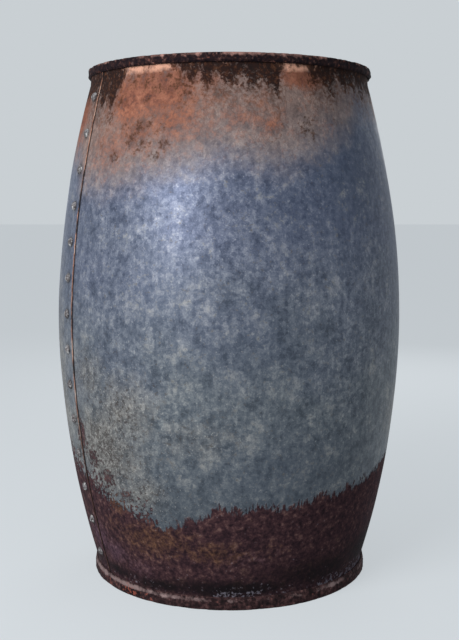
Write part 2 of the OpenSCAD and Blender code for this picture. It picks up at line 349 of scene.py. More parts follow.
rustPits = [(-38, 838, 4, 12, 0.55), (-32, 832, 3.5, 12, 0.62), (-29, 840, 3, 9, 0.5),
            (-26, 822, 4, 10, 0.66), (-23, 842, 4, 9, 0.6), (-19, 826, 4, 12, 0.72),
            (-15, 815, 3.5, 14, 0.72), (-31, 806, 2.5, 7, 0.7), (-42, 808, 3, 10, 0.7),
            (-16, 797, 2.5, 8, 0.7), (-23, 795, 3, 8, 0.55), (-9, 805, 3, 9, 0.5), (-47, 782, 2.6, 10, 1),
            (-32, 765, 2.4, 14, 1), (-28, 770, 2.2, 10, 0.9), (-35, 745, 2.6, 14, 1),
            (-42, 720, 2.6, 9, 1), (-25, 720, 2.6, 9, 1), (-22, 735, 2.6, 12, 0.9),
            (-31, 738, 5, 18, 0.7), (26, 758, 3, 12, 0.9), (30, 748, 2.4, 9, 0.9), (28, 770, 4, 18, 0.7),
            (-38, 768, 3.5, 12, 0.6), (40, 775, 3, 14, 0.7), (-24, 760, 3, 12, 0.6),
            (-50, 740, 3, 10, 0.5), (16, 745, 3, 8, 0.5), (118, 755, 5, 20, 0.9), (162, 720, 6, 18, 0.8),
            (250, 745, 6, 20, 0.9), (200, 760, 4, 14, 0.8)]
# patches where the zinc is darker: partly patina, partly painted shade on the front's right side and middle
patinaAndShadePatches = [(22, 640, 15, 80, 0.6), (44, 700, 24, 150, 1.0), (76, 640, 20, 170, 0.8),
              (-22, 510, 16, 60, 0.45), (8, 430, 26, 90, 0.35), (16, 235, 26, 75, 0.4),
              (-64, 580, 12, 150, 0.55), (130, 600, 24, 120, 0.8), (195, 520, 30, 140, 0.7),
              (250, 640, 24, 120, 0.8)]
greySpeckle = [(-46, 250, 17, 80, 1.0), (-36, 320, 13, 60, 0.75), (-50, 370, 10, 50, 0.6),
               (-30, 190, 10, 36, 0.7), (-74, 300, 9, 200, 0.8), (-12, 290, 14, 36, 0.35),
               (80, 290, 16, 50, 0.7), (170, 270, 22, 70, 0.9), (240, 300, 14, 60, 0.6)]
maroonSpots = [(-58, 268, 5, 44, 1.15), (-52, 235, 6, 30, 1.1), (-45, 205, 7, 26, 1.1),
               (-37, 182, 7, 20, 1.0), (-70, 200, 6, 90, 0.7), (165, 250, 8, 40, 0.9),
               (212, 280, 6, 34, 0.8)]
goldenRust = [(-27, 112, 20, 34, 0.85), (-6, 98, 14, 26, 0.75), (-42, 165, 6, 24, 0.8),
              (-46, 125, 8, 30, 0.5), (14, 104, 12, 22, 0.35), (120, 100, 20, 36, 0.8),
              (190, 120, 22, 40, 0.9), (255, 110, 15, 34, 0.7)]
purpleStain = [(-60, 85, 9, 34, 0.9), (-50, 70, 10, 26, 0.8), (-36, 55, 10, 24, 0.5),
               (8, 88, 12, 20, 0.4), (150, 60, 16, 24, 0.8), (225, 70, 18, 24, 0.8)]
footSoot = [(0, 34, 30, 17, 1.0), (38, 50, 30, 30, 0.75), (70, 60, 24, 40, 0.9), (-26, 30, 20, 13, 0.9),
            (-50, 34, 14, 12, 0.8), (115, 40, 20, 24, 0.8), (175, 36, 26, 22, 0.9),
            (235, 40, 26, 20, 0.7), (280, 36, 20, 16, 0.8)]


def edgeAt(points, turn):  # a line through hand-placed points, closed round the barrel
    turns, values = np.array(points, float).T
    return np.interp(turn, turns, values * mm, period=360)


def patches(spots, turn, z):
    # soft round spots: the strongest of strength * exp(-(turn^2 / width^2 + height^2 / rise^2))
    total = np.zeros(np.broadcast_shapes(turn.shape, z.shape))
    for at, level, width, rise, strength in spots:
        off = ((turn - at + 180) % 360 - 180) / width
        total = np.maximum(total, strength * np.exp(-off ** 2 - ((z / mm - level) / rise) ** 2))
    return total


# body sheet

# patches whose strength is the dent's depth in mm
dents = [(28, 500, 9, 60, 2.2), (-20, 330, 10, 60, 1.6), (60, 380, 9, 70, 2.4), (8, 620, 12, 45, 1.4),
         (-44, 560, 8, 60, 1.5), (130, 460, 12, 80, 4.0), (205, 330, 10, 60, 3.0),
         (250, 560, 14, 70, 2.6), (165, 640, 9, 50, 2.4)]


def wallRadius(z):
    # mean outer radius: the neck's past the necks, and a power curve between them
    u = np.minimum(1, np.abs(z - height / 2) / (height / 2 - wall["neckHeight"]))
    return bilgeRadius - (bilgeRadius - neckRadius) * u ** wall["power"]


def wallRelief(turn, z):
    # how far the wall stands in or out: broad waves and shallow dents that end at the necks
    place = around(wallRadius(z), turn, z)
    free = smooth(wall["neckHeight"], wall["neckHeight"] + 60 * mm, z)
    free = free * smooth(wall["neckHeight"], wall["neckHeight"] + 60 * mm, height - z)
    waves = lumps(place, 150 * mm) + 0.35 * lumps(place, 55 * mm, 3)
    return free * (waves * wall["waviness"] - patches(dents, turn, z) * mm)


def lapRadius(turned, z):
    # the sheet winds outwards by its growth in one turn, measured from its inner end
    turn = turned + wall["seamTurn"] - lapAngle
    return wallRadius(z) + wall["growth"] * (turned / 360 - 0.5) + wallRelief(turn, z)


def makeBodySheet(material):
    # mid surface of the wound sheet on a grid of turn and height, with half the thickness to each side,
    # falling to nothing along a half circle at its edges, where the two sides meet
    half = wall["thickness"] / 2
    whole = 360 + lapAngle
    perMetre = 360 / (2 * np.pi * bilgeRadius)
    roundOff = half * perMetre * (1 - np.cos(np.linspace(0, np.pi / 2, 5)))
    lapSteps = np.arange(1.2, lapAngle * 1.5, 0.45)
    single = np.linspace(lapAngle * 1.5, 360, wall["columns"])
    turned = [roundOff, lapSteps, single, 360 + lapSteps[lapSteps < 7], whole - roundOff]
    turned = np.unique(np.round(np.concatenate(turned), 5))
    low, high = wall["tuck"], height - wall["tuck"]
    z = np.concatenate([low + half * np.array([0, 0.3, 1]),
                        np.linspace(low + 4 * mm, high - 4 * mm, wall["rows"]),
                        high - half * np.array([1, 0.3, 0])])[:, None]
    fromEdge = np.minimum(turned, whole - turned) / perMetre
    fromEnd = np.minimum(z - low, high - z)
    thin = np.minimum(fromEdge, fromEnd)
    thick = half * np.sqrt(np.clip(1 - (1 - np.minimum(thin / half, 1)) ** 2, 0, 1))
    nibble = lumps(np.concatenate([z, z * 0, z * 0], 1), 7 * mm, 5)
    nibble = nibble + 0.6 * lumps(np.concatenate([z] * 3, 1), 3 * mm)
    shift = nibble[:, None] * wall["raggedEdge"] * perMetre * smooth(whole - 1.2, whole - 0.2, turned)
    turn = turned + shift + wall["seamTurn"] - lapAngle
    radius = lapRadius(turned, z) - half
    sides = np.stack([around(radius + thick, turn, z), around(radius - thick, turn, z)])
    index = np.arange(sides.size // 3).reshape(sides.shape[:3])
    for edge in (np.s_[0], np.s_[-1], np.s_[:, 0], np.s_[:, -1]):
        index[1][edge] = index[0][edge]
    tris = [gridTriangles(sheet, False, False) for sheet in (index[0], index[1, :, ::-1])]

    plain = (turn + 180) % 360 - 180
    reach = 100 * mm
    rivetTurn, rivetHeights = rivetPlaces()
    off = (plain - rivetTurn) / perMetre
    nearest = np.abs(z[:, :, None] - rivetHeights).min(2)
    spots = dict(bright=brightScaleAndHighlight, orange=orangeRust, pits=rustPits, patinaAndShade=patinaAndShadePatches,
                 speckle=greySpeckle, maroon=maroonSpots, gold=goldenRust, purple=purpleStain,
                 soot=footSoot)
    fields = {name: patches(spot, plain, z) for name, spot in spots.items()}
    fields.update(
        topRust=z - edgeAt(topRustEdge, plain), footRust=edgeAt(footRustEdge, plain) - z,
        drip=edgeAt(dripReach, plain) - (height - dripStart - z),
        pastEdge=np.where(turned < 180, np.clip((turned - lapAngle) / perMetre, 0, reach), reach) + z * 0,
        beforeEdge=np.where(turned > 180, np.clip((whole - turned) / perMetre, 0, reach), reach) + z * 0,
        rivet=np.minimum(np.hypot(off, nearest), 30 * mm))
    fields = {name: np.stack([values, values]) for name, values in fields.items()}
    fields["outside"] = np.stack([np.ones_like(turn), np.zeros_like(turn)])
    makePiece("bodySheet", sides, np.concatenate(tris), "barrel", ["shell"], material, fields)


def weatheredZinc():
    # hot-dip galvanised steel sheet, years outdoors: the zinc has dulled to mottled blue-grey with chalky
    # clouds and a faint broad sheen, and where it is spent the steel shows orange, brown and maroon rust
    material, tree = newMaterial("weatheredZincSheet")
    place = addNode(tree, "TexCoord", out="Object")
    level = addNode(tree, "SeparateXYZ", {0: place}, out="Z")
    upright = addNode(tree, "Mapping", {"Vector": place, "Scale": (1, 1, 0.16)})
    hanging = addNode(tree, "Mapping", {"Vector": place, "Scale": (1, 1, 0.42)})
    marks = {name: addNode(tree, "Attribute", out="Fac", attribute_name=name) for name in (
        "topRust", "footRust", "drip", "bright", "orange", "pits", "patinaAndShade", "speckle", "maroon", "gold",
        "purple", "soot", "pastEdge", "beforeEdge", "rivet", "outside")}
    noises = dict(broad=(place, 140, 2, 0.5), cloud=(place, 34, 5, 0.62), cell=(place, 8, 3, 0.6),
                  pit=(place, 6, 4, 0.65), blot=(place, 15, 4, 0.66), grain=(place, 2.6, 2, 0.6),
                  run=(upright, 9, 3, 0.6), icicle=(hanging, 15, 4, 0.66),
                  spike=(upright, 4.5, 1.5, 0.5))  # size in mm, detail and roughness
    broad, cloud, cell, pit, blot, grain, run, icicle, spike = [
        addNode(tree, "TexNoise", {"Vector": vector, "Scale": 1 / (size * mm), "Detail": detail,
                                   "Roughness": rough})
        for vector, size, detail, rough in noises.values()]

    # bare zinc: clouds over spangle, its crystals 6 mm across, with runs of rain
    crystal = addNode(tree, "TexVoronoi", {"Vector": place, "Scale": 1 / (6 * mm)}, out="Color")
    crystal = addNode(tree, "SeparateColor", {0: crystal})
    tone = addNode(tree, "Math", {0: crystal, 1: 0.16}, operation="MULTIPLY")
    mottling = [(cloud, 0.75), (blot, 0.5), (cell, 0.35), (grain, 0.4), (run, 0.36)]
    tone = noisyMask(tree, tone, mottling, 0.86, 1.66)
    ramps = dict(blue=[(0.22, "#4a5266"), (0.88, "#aaadba"), (0.44, "#656d83"), (0.62, "#7d8497")],
                 grey=[(0.22, "#4e565f"), (0.88, "#a8aaa9"), (0.44, "#656d76"), (0.62, "#7c8389")],
                 chalk=[(0.2, "#5c5a57"), (0.85, "#a8a6a1"), (0.5, "#817f7b")],
                 mauve=[(0.2, "#72686a"), (0.85, "#a89b97"), (0.5, "#8a7e7c")],
                 tan=[(0.2, "#67564e"), (0.85, "#a58d81"), (0.5, "#897268")])
    tones = {name: addNode(tree, "ValToRGB", {0: tone}, stops=stops) for name, stops in ramps.items()}

    # bluer towards the top, darker low down, darker in patches that are partly patina and partly painted
    # shade, with pale flecks
    bluer = noisyMask(tree, level, [(broad, 0.3)], 0.48, 0.78)
    colour = addNode(tree, "Mix", {0: bluer, 6: tones["grey"], 7: tones["blue"]}, **colourMix)
    darkerLowDown = noisyMask(tree, level, [(broad, 0.25)], 0.42, 0.25, 0.40)
    # patina and painted shade share these patches
    patinaAndShade = noisyMask(tree, marks["patinaAndShade"], [(cloud, 0.8)], 0.42, 1.4, 0.62)
    fleck = noisyMask(tree, pit, [(cloud, 0.6)], 0.90, 1.04, 0.45)
    layers = [(darkerLowDown, "#434a52"), (patinaAndShade, "#3f4b60"), (fleck, "#b3b3ae")]

    # chalky grey patches full of pale grains and dark specks
    chalk = noisyMask(tree, marks["speckle"], [(cloud, 1.0)], 0.60, 1.35, 0.85)
    salty = noisyMask(tree, grain, [(marks["speckle"], 0.14)], 0.67, 0.78, 0.6)
    specks = noisyMask(tree, pit, [(marks["speckle"], 0.15)], 0.60, 0.74, 0.75)
    layers += [(chalk, tones["chalk"]), (salty, "#c3c1bd"), (specks, "#453d3b")]

    # haze over the top, mauve at its edge and brown above, orange rust in it, dark pits in that
    uneven = [(cloud, 60 * mm), (cell, 24 * mm)]
    warm = noisyMask(tree, marks["topRust"], uneven, 50 * mm, 130 * mm)
    haze = noisyMask(tree, marks["topRust"], uneven, 4 * mm, 86 * mm, 0.9, interpolation_type="SMOOTHSTEP")
    hazeTone = addNode(tree, "Mix", {0: warm, 6: tones["mauve"], 7: tones["tan"]}, **colourMix)
    orange = noisyMask(tree, marks["orange"], [(blot, 1.1), (pit, 0.8)], 1.0, 1.66, 0.97)
    orange = addNode(tree, "Math", {0: orange, 1: haze}, operation="MULTIPLY")
    glowing = addNode(tree, "Math", {0: pit, 1: blot}, operation="ADD")
    glowing = addNode(tree, "Math", {0: glowing, 1: 0.5}, operation="MULTIPLY")
    orangeTone = addNode(tree, "ValToRGB", {0: glowing},
                         stops=[(0.34, "#4d3029"), (0.70, "#c98d72"), (0.43, "#7b4a3b"), (0.54, "#a0654e")])
    pits = noisyMask(tree, pit, [(marks["pits"], 0.30), (orange, 0.06), (grain, 0.25)], 0.78, 0.97, 0.9)
    pits = addNode(tree, "Math", {0: pits, 1: haze}, operation="MULTIPLY")
    layers += [(haze, hazeTone), (orange, orangeTone), (pits, "#3c281d")]

    # under the rim: brown curls of scale, a strip of bright scale that is partly a painted highlight, and
    # dark blotches that run down in drips
    hung = [(icicle, 70 * mm), (blot, 50 * mm), (pit, 50 * mm)]
    stained = noisyMask(tree, marks["drip"], hung, 38 * mm, 88 * mm, 0.85)
    curl = addNode(tree, "MapRange", {0: pit, 1: 0.42, 2: 0.58})
    stain = addNode(tree, "Math", {0: stained, 1: curl}, operation="MULTIPLY")
    ledge = noisyMask(tree, level, [(blot, 14 * mm)], height - 20 * mm, height - 13 * mm)
    bright = noisyMask(tree, marks["bright"], [(cell, 1.2)], 1.0, 1.35, 0.95)
    bright = addNode(tree, "Math", {0: bright, 1: ledge}, operation="MULTIPLY")
    drip = noisyMask(tree, marks["drip"], hung, 73 * mm, 95 * mm, 0.95, interpolation_type="SMOOTHSTEP")
    flaked = addNode(tree, "MapRange", {0: cell, 1: 0.70, 2: 0.57, 3: 0.45, 4: 1.0})
    drip = addNode(tree, "Math", {0: drip, 1: flaked}, operation="MULTIPLY")
    dripTone = addNode(tree, "ValToRGB", {0: pit},
                       stops=[(0.34, "#110808"), (0.72, "#61402f"), (0.52, "#241310")])
    layers += [(stain, "#543426"), (bright, "#e6ae94"), (drip, dripTone)]

    # maroon rust from the foot: its edge drawn up in thin spikes, and broken into specks over the chalk
    broken = addNode(tree, "Math", {0: pit, 1: -0.5}, operation="ADD")
    broken = addNode(tree, "Math", {0: broken, 1: marks["speckle"]}, operation="MULTIPLY")
    spikes = [(spike, 40 * mm), (blot, 40 * mm), (broken, 420 * mm)]
    foot = noisyMask(tree, marks["footRust"], spikes, 37 * mm, 44 * mm)
    spots = noisyMask(tree, marks["maroon"], [(pit, 1.8), (grain, 0.9)], 2.12, 2.42, 0.9)
    foot = addNode(tree, "Math", {0: foot, 1: spots}, operation="MAXIMUM")
    patchy = addNode(tree, "Math", {0: cell, 1: pit}, operation="ADD")
    patchy = addNode(tree, "Math", {0: blot, 1: patchy}, operation="ADD")
    patchy = addNode(tree, "Math", {0: patchy, 1: 1 / 3}, operation="MULTIPLY")
    footTone = addNode(tree, "ValToRGB", {0: patchy},
                       stops=[(0.37, "#20161b"), (0.65, "#886862"), (0.46, "#39272d"), (0.54, "#52393c")])

    # in the maroon: golden and purple stains, soot, and salt left in clusters above the foot ring
    gold = noisyMask(tree, marks["gold"], [(blot, 1.6), (pit, 1.2)], 1.75, 2.6, 0.8)
    goldTone = addNode(tree, "ValToRGB", {0: pit}, stops=[(0.33, "#32201a"), (0.70, "#8a6447")])
    purple = noisyMask(tree, marks["purple"], [(cell, 1.5)], 1.05, 1.9, 0.8)
    purpleTone = addNode(tree, "ValToRGB", {0: pit}, stops=[(0.33, "#33232e"), (0.70, "#836677")])
    soot = noisyMask(tree, marks["soot"], [(blot, 1.3)], 0.8, 1.45, 0.9)
    splashed = addNode(tree, "MapRange", {0: level, 1: 46 * mm, 2: 22 * mm})
    damp = addNode(tree, "MapRange", {0: broad, 1: 0.40, 2: 0.58, 3: 0.05, 4: 0.18})
    salt = noisyMask(tree, pit, [(damp, splashed)], 0.66, 0.74, 0.75)
    for mask, tint in ((gold, goldTone), (purple, purpleTone), (soot, "#131013"), (salt, "#8b8793")):
        footTone = addNode(tree, "Mix", {0: mask, 6: footTone, 7: tint}, **colourMix)
    layers += [(foot, footTone)]

    # the lap: a chipped free edge, painted dark low down as shadow, with dirt and a painted shadow beside
    # it, and dark rings at the rivets
    chippedAndShaded = noisyMask(tree, marks["beforeEdge"], [(cell, 7 * mm)], 6.5 * mm, 4.5 * mm, 0.9)
    chipAndShadowTone = addNode(tree, "ValToRGB", {0: icicle},
                       stops=[(0.38, "#332d2c"), (0.68, "#cfc3bb"), (0.46, "#8d6455"), (0.55, "#b98b76")])
    # low down the edge's tone goes dark: painted shadow of the seam
    low = addNode(tree, "MapRange", {0: level, 1: 0.34, 2: 0.20, 4: 0.85})
    chipAndShadowTone = addNode(tree, "Mix", {0: low, 6: chipAndShadowTone, 7: "#382b2c"}, **colourMix)
    # a dark line just past the free edge: dirt in the crevice and the painted shadow of the lap's step
    dirtAndShadow = noisyMask(tree, marks["pastEdge"], [(cell, 6 * mm)], 7 * mm, 3.5 * mm, 0.9)
    halo = noisyMask(tree, marks["rivet"], [(cell, 12 * mm)], 22 * mm, 13 * mm, 0.5)
    dirtAndShadow = addNode(tree, "Math", {0: dirtAndShadow, 1: halo}, operation="MAXIMUM")
    layers += [(chippedAndShaded, chipAndShadowTone), (dirtAndShadow, "#2b2726")]
    for mask, tint in layers:
        colour = addNode(tree, "Mix", {0: mask, 6: colour, 7: tint}, **colourMix)
    insideRust = "#33231c"
    colour = addNode(tree, "Mix", {0: marks["outside"], 6: insideRust, 7: colour}, **colourMix)

    # rust is matt and rough, zinc keeps a dull sheen
    rusted = addNode(tree, "Math", {0: drip, 1: foot}, operation="MAXIMUM")
    rusted = addNode(tree, "Math", {0: rusted, 1: orange}, operation="MAXIMUM")
    dull = addNode(tree, "Math", {0: haze, 1: 0.6}, operation="MULTIPLY")
    dull = addNode(tree, "Math", {0: dull, 1: rusted}, operation="MAXIMUM")
    sheen = addNode(tree, "MapRange", {0: cloud, 1: 0.3, 2: 0.7, 3: 0.38, 4: 0.49})
    roughness = addNode(tree, "Mix", {0: dull, 2: sheen, 3: 0.88}, data_type="FLOAT")
    metallic = addNode(tree, "MapRange", {0: dull, 1: 0.0, 2: 0.7, 3: 0.28, 4: 0.0})
    deep = addNode(tree, "MapRange", {0: rusted, 3: 0.16, 4: 1.0})
    relief = addNode(tree, "Math", {0: patchy, 1: deep, 2: rusted}, operation="MULTIPLY_ADD")
    finishMaterial(tree, colour, roughness, metallic, relief, 1.1 * mm, 0.12)
    return material


def rustedSteel(name, tones, size, depth, edge, dust, spots="#a8502f"):
    # bare steel or iron under a coat of rust: matt and pitted, in mixed tones, paler on high places that
    # are knocked clean, and on the rings' edges and bumps also where a highlight is painted, with dust
    # lying on what faces up and small fresh orange spots
    material, tree = newMaterial(name)
    place = addNode(tree, "TexCoord", out="Object")
    facing = addNode(tree, "SeparateXYZ", {0: addNode(tree, "NewGeometry", out="Normal")}, out="Z")
    high = addNode(tree, "Attribute", out="Fac", attribute_name="high")
    ember = addNode(tree, "Attribute", out="Fac", attribute_name="ember")
    patch, scab, grit = [
        addNode(tree, "TexNoise", {"Vector": place, "Scale": finer / size, "Detail": detail,
                                   "Roughness": rough})
        for finer, detail, rough in ((1, 4, 0.62), (4, 3, 0.6), (12, 2, 0.6))]
    both = addNode(tree, "Math", {0: patch, 1: scab}, operation="ADD")
    half = addNode(tree, "Math", {0: both, 1: 0.5}, operation="MULTIPLY")
    colour = addNode(tree, "ValToRGB", {0: half}, stops=[
        (0.34, tones[0]), (0.68, tones[3]), (0.46, tones[1]), (0.57, tones[2])])
    # pale where the high field is: wear, and on the rings also a painted highlight
    wearAndHighlight = noisyMask(tree, high, [(scab, 0.8), (grit, 0.7)], 1.08, 1.75, 0.85)
    lying = noisyMask(tree, facing, [(patch, 0.8)], 1.15, 1.6, 0.6)
    fresh = noisyMask(tree, scab, [(ember, 0.4)], 0.68, 0.76, 0.85)
    for mask, tint in ((wearAndHighlight, edge), (lying, dust), (fresh, spots)):
        colour = addNode(tree, "Mix", {0: mask, 6: colour, 7: tint}, **colourMix)
    roughness = addNode(tree, "MapRange", {0: wearAndHighlight, 3: 0.86, 4: 0.55})
    metallic = addNode(tree, "MapRange", {0: wearAndHighlight, 3: 0.0, 4: 0.35})
    finishMaterial(tree, colour, roughness, metallic, half, depth, 0.15)
    return material


def agedRubber():
    # moulded black rubber, hardened: nearly matt, greyed by bloom and dust in fine crazing
    material, tree = newMaterial("agedRubber")
    place = addNode(tree, "TexCoord", out="Object")
    bloom = addNode(tree, "TexNoise", {"Vector": place, "Scale": 1 / (5 * mm), "Detail": 3})
    crazing = addNode(tree, "TexVoronoi", {"Vector": place, "Scale": 1 / (1.6 * mm)},
                      feature="DISTANCE_TO_EDGE")
    colour = addNode(tree, "ValToRGB", {0: bloom}, stops=[(0.35, "#191716"), (0.7, "#3b3734")])
    cracks = addNode(tree, "MapRange", {0: crazing, 2: 0.12})
    roughness = addNode(tree, "MapRange", {0: bloom, 1: 0.3, 2: 0.7, 3: 0.6, 4: 0.8})
    finishMaterial(tree, colour, roughness, 0.0, cracks, 0.1 * mm)
    return material


# side seam's rivets

seam = dict(count=14, fromEnd=52.7 * mm, headRadius=8 * mm, headHeight=5 * mm, shankRadius=4 * mm,
            grip=3.7 * mm, lift=0.1 * mm, hammered=0.35 * mm)


def rivetPlaces():  # turn of the rivet row, in the middle of the lap, and the rivets' heights
    heights = np.linspace(seam["fromEnd"], height - seam["fromEnd"], seam["count"])
    return wall["seamTurn"] - lapAngle / 2, heights


def rivetPath(headRadius, headHeight, shankRadius, grip):
    # from the top of one domed head down the shank to the other dome; each dome is a circle's arc
    rise = (headRadius ** 2 - headHeight ** 2) / (2 * headHeight)
    angle = np.linspace(0, 1, 12) * np.arctan2(headRadius, rise)
    dome = np.stack([np.sin(angle), np.cos(angle)], 1) * (rise + headHeight) - (0, rise)
    lower = dome[::-1] * (1, -1) - (0, grip)
    return np.concatenate([dome, [[headRadius * 0.97, 0], [shankRadius, 0], [shankRadius, -grip],
                                  [headRadius * 0.97, -grip]], lower])


def makeSeamRivets(material):
    # one rivet turned on a lathe and set square to the bilge's slope at each place, roughened by noise
    turn, heights = rivetPlaces()
    path = rivetPath(seam["headRadius"], seam["headHeight"], seam["shankRadius"], seam["grip"])
    points, tris = lathe(path, 28)
    lean = np.arctan((wallRadius(heights + mm) - wallRadius(heights - mm)) / (2 * mm))
    side = around(1, turn + 90, 0)
    frames = []
    for z, tilt in zip(heights, lean):
        out = around(np.cos(tilt), turn, -np.sin(tilt))
        spot = around(lapRadius(360 + lapAngle / 2, np.array([z]))[0], turn, z)
        frames.append([spot + out * seam["lift"], side, np.cross(out, side), out])
    points, tris = copiesOf(points, tris, frames)
    points = points + lumps(points, 5 * mm)[..., None] * around(seam["hammered"], turn, 0)
    high = smooth(0.6, 1, lumps(points, 4 * mm, 2) + 0.4)
    makePiece("seamRivets", points, tris, "barrel", ["seam_rivets"], material,
              dict(high=high))


# chime rings

# both are the same channel, bent out of round by its sag; bumps are the height of the scale,
# wearAndHighlight is how pale the edge from paleFrom to paleTo is all round, partly rubbed and partly a
# painted highlight, and rubbedAndLit and embers are patches
channel = dict(band=11 * mm, web=3 * mm, lip=1 * mm, radii=[1.5, 1.5, 2.5, 0.45, 0.4, 0.4, 0.4, 1.0, 1.0],
               sag=0.8 * mm, columns=720)
rim = dict(height=14 * mm, bumps=0.9 * mm, bumpSize=8 * mm, wearAndHighlight=0.3, paleFrom=8 * mm, paleTo=1 * mm,
           rubbedAndLit=[(14, 2, 22, 30, 0.4), (-18, 2, 10, 30, 0.2), (-48, 2, 9, 30, 0.2),
                   (150, 2, 30, 30, 0.3)])
foot = dict(height=21 * mm, bumps=0.6 * mm, bumpSize=11 * mm, wearAndHighlight=0.3, paleFrom=11 * mm, paleTo=15 * mm,
            rubbedAndLit=[(-50, 17, 30, 30, 0.75), (-12, 17, 12, 30, 0.35), (40, 17, 16, 30, 0.25),
                    (130, 17, 30, 30, 0.4), (230, 17, 24, 30, 0.4)])
embers = [(-42, 7, 6, 8, 0.6), (-34, 5, 3, 6, 0.4), (-58, 8, 4, 6, 0.4), (120, 6, 9, 8, 0.6),
          (210, 6, 6, 8, 0.5)]


def makeRing(name, ring, flip, material, node):
    # a rolled channel: its rounded section carried round the barrel, its outside swollen by scale
    slotInner = skirtRadius - head["thickness"] - fit["ring"]
    inner, top, web = slotInner - ringLeg, ring["height"], channel["web"]
    corners = [(inner, 0), (ringRadius, 0), (ringRadius, channel["band"]),
               (slotRadius + channel["lip"], top), (slotRadius, top), (slotRadius, web), (slotInner, web),
               (slotInner, top), (inner, top)]
    path = roundedPath(corners, np.array(channel["radii"]) * mm, 1.9 * mm, closed=True)
    normals = pathNormals(path, closed=True)
    points, tris = lathe(path, channel["columns"], closed=True)
    turn = np.arange(channel["columns"]) * 360 / channel["columns"]
    outer = smooth(slotRadius + 0.6 * mm, slotRadius + 2 * mm, path[:, :1])
    outer = np.maximum(outer, 0.5 * smooth(inner + 2 * mm, inner + 1 * mm, path[:, :1]))
    scale = lumps(points, ring["bumpSize"], 1) + 0.6 * lumps(points, ring["bumpSize"] * 0.45, 2)
    swell = scale * ring["bumps"] * outer
    swell = np.where(path[:, 1:] < 0.8 * mm, np.minimum(swell, 0), swell)
    sag = channel["sag"] * lumps(points, 90 * mm, 4) * outer
    swollen = path[:, None] + normals[:, None] * swell[..., None]
    level = swollen[..., 1]
    points = around(swollen[..., 0] + np.abs(sag), turn, height - level if flip else level)
    plain = (turn + 180) % 360 - 180
    # pale edge band, pale bumps and pale patches: partly rubbed scale, partly a painted highlight on the
    # top edge and the lit front
    rubbedAndLit = ring["wearAndHighlight"] + 0.35 * lumps(points, 38 * mm, 5) + 0.25 * scale
    rubbedAndLit = rubbedAndLit + patches(ring["rubbedAndLit"], plain, level)
    high = 0.4 * smooth(0.1, 1.0, scale) * outer * smooth(slotRadius, slotRadius + 1 * mm, path[:, :1])
    high = high + np.maximum(rubbedAndLit, 0) * outer * smooth(ring["paleFrom"], ring["paleTo"], path[:, 1:])
    ember = patches(embers, plain, level) * (0 if flip else 1)
    makePiece(name, points, tris, "barrel", [node], material, dict(high=high, ember=ember))


# heads and closures

# edge is the gap from the plate to the head's knuckle, square the width across the plug's square, and
# thread the height of its wave above and below the middle
head = dict(thickness=2 * mm, knuckle=8 * mm, panel=5 * mm, slope=8 * mm, bend=9 * mm, panelGap=6 * mm,
            waviness=0.7 * mm, recess=34 * mm)
bung = dict(turn=135, bore=58.24 * mm, wall=9 * mm, boss=15 * mm, square=26 * mm, edge=8 * mm, rivets=6,
            pitch=2.309 * mm, thread=0.74 * mm)
vent = dict(turn=-45, bore=25.38 * mm, wall=7.5 * mm, boss=13 * mm, square=14 * mm, edge=27 * mm, rivets=4,
            pitch=1.814 * mm, thread=0.58 * mm)
plate = dict(width=11 * mm, thickness=6 * mm, rivetRadius=2.25 * mm, spigotWall=5 * mm, spigotDrop=2 * mm)
gasket = dict(thickness=2 * mm, inset=0.45 * mm, edge=1.5 * mm)
plug = dict(wall=8 * mm, roof=7 * mm, flange=4 * mm, square=8 * mm, short=1 * mm, squareness=9)
flatRadius = skirtRadius - head["thickness"] - head["knuckle"]
headFace = height - head["recess"]


def plateRadius(closure):  # outer radius of the plate round the boss
    return closure["bore"] / 2 + closure["wall"] + plate["width"]


def closureFrame(closure):  # origin on the head's face, x pointing outwards from the barrel's axis
    middle = flatRadius - closure["edge"] - plateRadius(closure)
    out = around(1, closure["turn"], 0)
    up = np.array([0, 0, 1.0])
    return np.array([around(middle, closure["turn"], headFace), out, np.cross(up, out), up])


def plateRivetSpots(closure):  # centres of the plate's rivets in the closure's own frame
    radius = closure["bore"] / 2 + closure["wall"] + plate["width"] / 2
    return around(radius, (np.arange(closure["rivets"]) + 0.5) * 360 / closure["rivets"] + 90, 0)


def drill(piece, closure, radius):
    # holes for the plate's rivets and, where a radius is given, for the spigot
    def rod(width, columns, reach=20 * mm):
        return lathe(np.array([[0, -reach], [width, -reach], [width, reach], [0, reach]]), columns)

    small, tris = rod(plate["rivetRadius"] + fit["shank"], 24)
    holes, tris = copiesOf(small, tris, [[spot, *np.eye(3)] for spot in plateRivetSpots(closure)])
    if radius:
        wide, wideTris = rod(radius, 64)
        tris = np.concatenate([tris, wideTris + holes.size // 3])
        holes = np.concatenate([holes.reshape(-1, 3), wide.reshape(-1, 3)])
    spot = closureFrame(closure)
    cutAway(piece, holes.reshape(-1, 3) @ spot[1:] + spot[0], tris)


